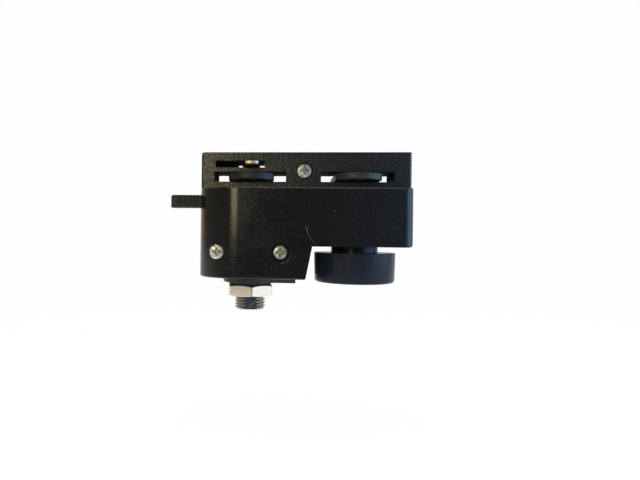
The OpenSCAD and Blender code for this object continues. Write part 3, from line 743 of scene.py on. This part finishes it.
cam_pa, tree, shader, place = new_material("black polyamide, moulded matte")
dry = add(
    tree, "ShaderNodeTexNoise", {"Vector": place}, {"Scale": 1 / PA_GRAIN, "Detail": 3.0}
).outputs["Fac"]
tone = add(
    tree, "ShaderNodeMix", {0: dry}, {6: srgb("#191919"), 7: srgb("#2a2a2a")}, data_type="RGBA"
).outputs[2]
tree.links.new(tone, shader.inputs["Base Color"])
rough = add(tree, "ShaderNodeMapRange", {"Value": dry}, {"To Min": 0.4, "To Max": 0.55}).outputs[0]
tree.links.new(rough, shader.inputs["Roughness"])
shader.inputs["IOR"].default_value = 1.53
shader.inputs["Specular IOR Level"].default_value = 0.4
bump = add(tree, "ShaderNodeBump", {"Height": dry}, {"Strength": 0.3, "Distance": PA_GRAIN_DEEP})
tree.links.new(bump.outputs[0], shader.inputs["Normal"])
bm = merged_copy("lock_cam")
round_edges(bm, CAM_EDGE, 2)
make_piece(bm, "locking_cam", (cam_pa,), "lock_spindle", "cam_plastic", "lock_cam")
bm = merged_copy("cam_screw")
round_edges(bm, CAM_SCREW_EDGE, 2)
make_piece(bm, "cam_fixing_screw", (nickel,), "lock_spindle", "plated_screw", "cam_screw")

# Front half of the housing, moulded like the rear one, with clearance holes for the screws and without
# the long slot in which the lever swings back. It closes the adapter over the two spindles.
housing_half("housing_front", "front_half")

# Housing screws: cold-headed steel, zinc plated, with a domed head and a cross recess, driven from the
# front into the bosses of the rear half.

# Zinc plate on cold-headed steel: a pale grey with a soft sheen, darker and uneven in small patches.
PLATE_PATCH = 0.55 * MM
PLATE_DEEP = 0.05 * MM

zinc, tree, shader, place = new_material("zinc-plated steel, cold-headed")
patch = add(
    tree, "ShaderNodeTexNoise", {"Vector": place}, {"Scale": 1 / PLATE_PATCH, "Detail": 3.0}
).outputs["Fac"]
patch = add(
    tree, "ShaderNodeMapRange", {"Value": patch}, {"From Min": 0.36, "From Max": 0.64}
).outputs[0]
plate = add(
    tree, "ShaderNodeMix", {0: patch}, {6: srgb("#f4f2ea"), 7: srgb("#8f8d84")}, data_type="RGBA"
).outputs[2]
tree.links.new(plate, shader.inputs["Base Color"])
rough = add(tree, "ShaderNodeMapRange", {"Value": patch}, {"To Min": 0.34, "To Max": 0.5}).outputs[0]
tree.links.new(rough, shader.inputs["Roughness"])
shader.inputs["Metallic"].default_value = 1.0
bump = add(tree, "ShaderNodeBump", {"Height": patch}, {"Strength": 0.5, "Distance": PLATE_DEEP})
tree.links.new(bump.outputs[0], shader.inputs["Normal"])

# The same plate in the recess, a little darker and duller.
recess_zinc, tree, shader, place = new_material("zinc-plated steel, in the recess")
patch = add(
    tree, "ShaderNodeTexNoise", {"Vector": place}, {"Scale": 1 / PLATE_PATCH, "Detail": 3.0}
).outputs["Fac"]
plate = add(
    tree, "ShaderNodeMix", {0: patch}, {6: srgb("#d8d6c6"), 7: srgb("#878475")}, data_type="RGBA"
).outputs[2]
tree.links.new(plate, shader.inputs["Base Color"])
shader.inputs["Roughness"].default_value = 0.7
shader.inputs["Metallic"].default_value = 1.0

HEAD_H = 1.6 * MM
HEAD_R = 2.325 * MM
DOME_H = 0.38 * MM
DOME_STEPS = 6
SHANK_R = 1.3 * MM
TIP_H = 0.8 * MM
RECESS_W = 1.5 * MM
RECESS_LEN = 4.9 * MM
RECESS_DEEP = 0.8 * MM
RECESS_TAPER = 0.3
RECESS_SKIN_DEEP = 0.06 * MM
SCREW_STEPS = 64


def cross_screw(x, z, front, length):
    """One screw with its head towards the front."""
    quarter = [math.pi / 2 * i / DOME_STEPS for i in range(DOME_STEPS + 1)]
    profile = [(HEAD_R * math.sin(t), front + DOME_H * (1 - math.cos(t))) for t in quarter]
    profile += [
        (HEAD_R, front + HEAD_H), (SHANK_R, front + HEAD_H),
        (SHANK_R, front + length - TIP_H), (0.0, front + length),
    ]
    bm = turned(profile, (x, 0, z), (0, 1, 0), SCREW_STEPS)
    cutters = []
    for wide, tall in ((RECESS_LEN, RECESS_W), (RECESS_W, RECESS_LEN)):
        bar = box_solid(
            (x - wide / 2, front - RECESS_DEEP, z - tall / 2),
            (x + wide / 2, front + RECESS_DEEP, z + tall / 2),
        )
        for v in bar.verts:
            if v.co.y > front:
                v.co.x = x + (v.co.x - x) * RECESS_TAPER
                v.co.z = z + (v.co.z - z) * RECESS_TAPER
        cutters.append(bar)
    bm = combine("DIFFERENCE", bm, *cutters)
    for face in bm.faces:
        middle = face.calc_center_median()
        from_axis = min(math.hypot(middle.x - x, middle.z - z) / HEAD_R, 1.0)
        dome_y = front + DOME_H * (1 - math.sqrt(1 - from_axis**2))
        below_dome = dome_y + RECESS_SKIN_DEEP < middle.y < front + HEAD_H
        in_recess = from_axis * HEAD_R < RECESS_LEN / 2 and below_dome
        face.material_index = 1 if in_recess else 0
    return bm


low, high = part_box("top_screw")
bm = cross_screw((low.x + high.x) / 2, (low.z + high.z) / 2, low.y, high.y - low.y)
make_piece(bm, "upper_cross_screw", (zinc, recess_zinc), "housing", "plated_screw", "top_screw")
low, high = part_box("lower_screws")
mid_z = (low.z + high.z) / 2
bm = cross_screw(low.x + HEAD_R, mid_z, low.y, high.y - low.y)
second = cross_screw(high.x - HEAD_R, mid_z, low.y, high.y - low.y)
other = bpy.data.meshes.new("blank")
second.to_mesh(other)
second.free()
bm.from_mesh(other)
bpy.data.meshes.remove(other)
make_piece(bm, "lower_cross_screws", (zinc, recess_zinc), "housing", "plated_screw", "lower_screws")

# Plain pale floor, a paper sheet some way below the adapter, white to the eye. Its near edge ends in
# front of the object, so that the front faces mirror the dark room and not the paper.
FLOOR_Z = -75 * MM
FLOOR_NEAR_Y, FLOOR_FAR_Y, FLOOR_HALF_X = -0.26, 1.6, 1.6
WHITE_TO_EYE = 0.975
WHITE_IN_METAL = 0.66

floor_mat, tree, shader, _ = new_material("white paper sheet")
shader.inputs["Base Color"].default_value = srgb("#f6f6f6")
shader.inputs["Roughness"].default_value = 0.9
path = add(tree, "ShaderNodeLightPath").outputs
straight = add(
    tree, "ShaderNodeMath", {0: path["Is Camera Ray"], 1: path["Is Transmission Ray"]},
    operation="MAXIMUM",
).outputs[0]
straight = add(
    tree, "ShaderNodeMath", {0: straight}, {1: WHITE_TO_EYE}, operation="MULTIPLY"
).outputs[0]
mirrored = add(
    tree, "ShaderNodeMath", {0: path["Is Glossy Ray"]}, {1: WHITE_IN_METAL}, operation="MULTIPLY"
).outputs[0]
share = add(tree, "ShaderNodeMath", {0: straight, 1: mirrored}, operation="MAXIMUM").outputs[0]
white = add(tree, "ShaderNodeEmission", None, {"Color": (1, 1, 1, 1), "Strength": 1.0})
mixed = add(tree, "ShaderNodeMixShader", {0: share, 1: shader.outputs[0], 2: white.outputs[0]})
out = next(n for n in tree.nodes if n.type == "OUTPUT_MATERIAL")
tree.links.new(mixed.outputs[0], out.inputs["Surface"])
bm = bmesh.new()
bmesh.ops.create_grid(bm, x_segments=1, y_segments=1, size=0.5)
bmesh.ops.scale(bm, vec=(2 * FLOOR_HALF_X, FLOOR_FAR_Y - FLOOR_NEAR_Y, 1), verts=bm.verts)
bmesh.ops.translate(bm, vec=(0, (FLOOR_FAR_Y + FLOOR_NEAR_Y) / 2, FLOOR_Z), verts=bm.verts)
mesh = bpy.data.meshes.new("paper_floor")
bm.to_mesh(mesh)
bm.free()
mesh.materials.append(floor_mat)
floor = bpy.data.objects.new("paper_floor", mesh)
bpy.context.scene.collection.objects.link(floor)

# Studio: a backdrop that is white to the eye and mirrored warmer on the left, a dark room behind the
# camera that is warm on the left and cool on the right, a small warm soft box in front on the left, a
# wide cool one on the right, and a plain one overhead.
ROOM = "#242528"
WALLS = ((-0.15, -0.95, "#817967"), (-0.05, 0.9, "#b4d9ff"))
PAPER, WARM_PAPER = "#fefefe", "#f3dcc4"
WARM_FROM, WARM_TO = -0.05, -0.5
BACKDROP_FROM, BACKDROP_TO = 0.3, 0.85

world = bpy.data.worlds.new("studio")
bpy.context.scene.world = world
world.use_nodes = True
tree = world.node_tree
tree.nodes.clear()
towards = add(tree, "ShaderNodeTexCoord").outputs["Generated"]
axes = add(tree, "ShaderNodeSeparateXYZ", {0: towards}).outputs
room = add(tree, "ShaderNodeRGB")
room.outputs[0].default_value = srgb(ROOM)
room = room.outputs[0]
for start, end, wall in WALLS:
    reach = add(
        tree, "ShaderNodeMapRange", {"Value": axes["X"]}, {"From Min": start, "From Max": end},
        interpolation_type="SMOOTHSTEP",
    ).outputs[0]
    room = add(
        tree, "ShaderNodeMix", {0: reach, 6: room}, {7: srgb(wall)}, data_type="RGBA"
    ).outputs[2]
behind = add(
    tree, "ShaderNodeMapRange", {"Value": axes["Y"]},
    {"From Min": BACKDROP_FROM, "From Max": BACKDROP_TO}, interpolation_type="SMOOTHSTEP",
).outputs[0]
warmer = add(
    tree, "ShaderNodeMapRange", {"Value": axes["X"]},
    {"From Min": WARM_FROM, "From Max": WARM_TO}, interpolation_type="SMOOTHSTEP",
).outputs[0]
paper = add(
    tree, "ShaderNodeMix", {0: warmer}, {6: srgb(PAPER), 7: srgb(WARM_PAPER)}, data_type="RGBA"
).outputs[2]
sky = add(tree, "ShaderNodeMix", {0: behind, 6: room, 7: paper}, data_type="RGBA").outputs[2]
path = add(tree, "ShaderNodeLightPath").outputs
straight = add(
    tree, "ShaderNodeMath", {0: path["Is Camera Ray"], 1: path["Is Transmission Ray"]},
    operation="MAXIMUM",
).outputs[0]
sky = add(
    tree, "ShaderNodeMix", {0: straight, 6: sky}, {7: srgb(PAPER)}, data_type="RGBA"
).outputs[2]
backdrop = add(tree, "ShaderNodeBackground", {"Color": sky}, {"Strength": 1.0})
add(tree, "ShaderNodeOutputWorld", {"Surface": backdrop.outputs[0]})


def soft_box(name, place, target, wide, tall, power, colour):
    """An area lamp aimed at a point."""
    lamp = bpy.data.lights.new(name, "AREA")
    lamp.shape, lamp.size, lamp.size_y = "RECTANGLE", wide, tall
    lamp.energy, lamp.color = power, srgb(colour)[:3]
    obj = bpy.data.objects.new(name, lamp)
    obj.location = place
    obj.rotation_mode = "QUATERNION"
    obj.rotation_quaternion = (Vector(target) - Vector(place)).to_track_quat("-Z", "Y")
    bpy.context.scene.collection.objects.link(obj)


AIM = (0, 0, -0.01)
soft_box(
    "warm_soft_box", (-0.181, -0.489, 0.09), AIM, wide=0.146, tall=0.19, power=0.62, colour="#fff2be"
)
soft_box(
    "cool_soft_box", (0.34, -0.12, 0.049), AIM, wide=0.34, tall=0.2, power=0.75, colour="#9ccaff"
)
soft_box(
    "overhead_soft_box", (0, -0.02, 0.5), AIM, wide=0.4, tall=0.3, power=2.6, colour="#ffffff"
)

# Camera of the photograph: level, close in front of the adapter, turned and rolled slightly, with the
# frame shifted off the lens axis as in a cropped picture. The shifts are in pixels of its width.
SENSOR_W = 36.0
FOCAL_LENGTH = 28.69
FRAME_W = 640
SHIFT_X, SHIFT_Y = 71.7, -4.65
NEAREST, FARTHEST = 0.005, 20.0
CAMERA_AT = (-6.45 * MM, -169.0 * MM, -14.8 * MM)
TURN, ROLL = 0.067, 0.0108

lens = bpy.data.cameras.new("camera")
lens.sensor_width = SENSOR_W
lens.lens = FOCAL_LENGTH
lens.shift_x = SHIFT_X / FRAME_W
lens.shift_y = SHIFT_Y / FRAME_W
lens.clip_start, lens.clip_end = NEAREST, FARTHEST
camera = bpy.data.objects.new("camera", lens)
camera.location = CAMERA_AT
camera.rotation_mode = "QUATERNION"
turned_level = Matrix.Rotation(TURN, 3, "Z") @ Matrix.Rotation(math.pi / 2, 3, "X")
camera.rotation_quaternion = (turned_level @ Matrix.Rotation(ROLL, 3, "Z")).to_quaternion()
bpy.context.scene.collection.objects.link(camera)
bpy.context.scene.camera = camera
bpy.context.scene.view_settings.view_transform = "Standard"
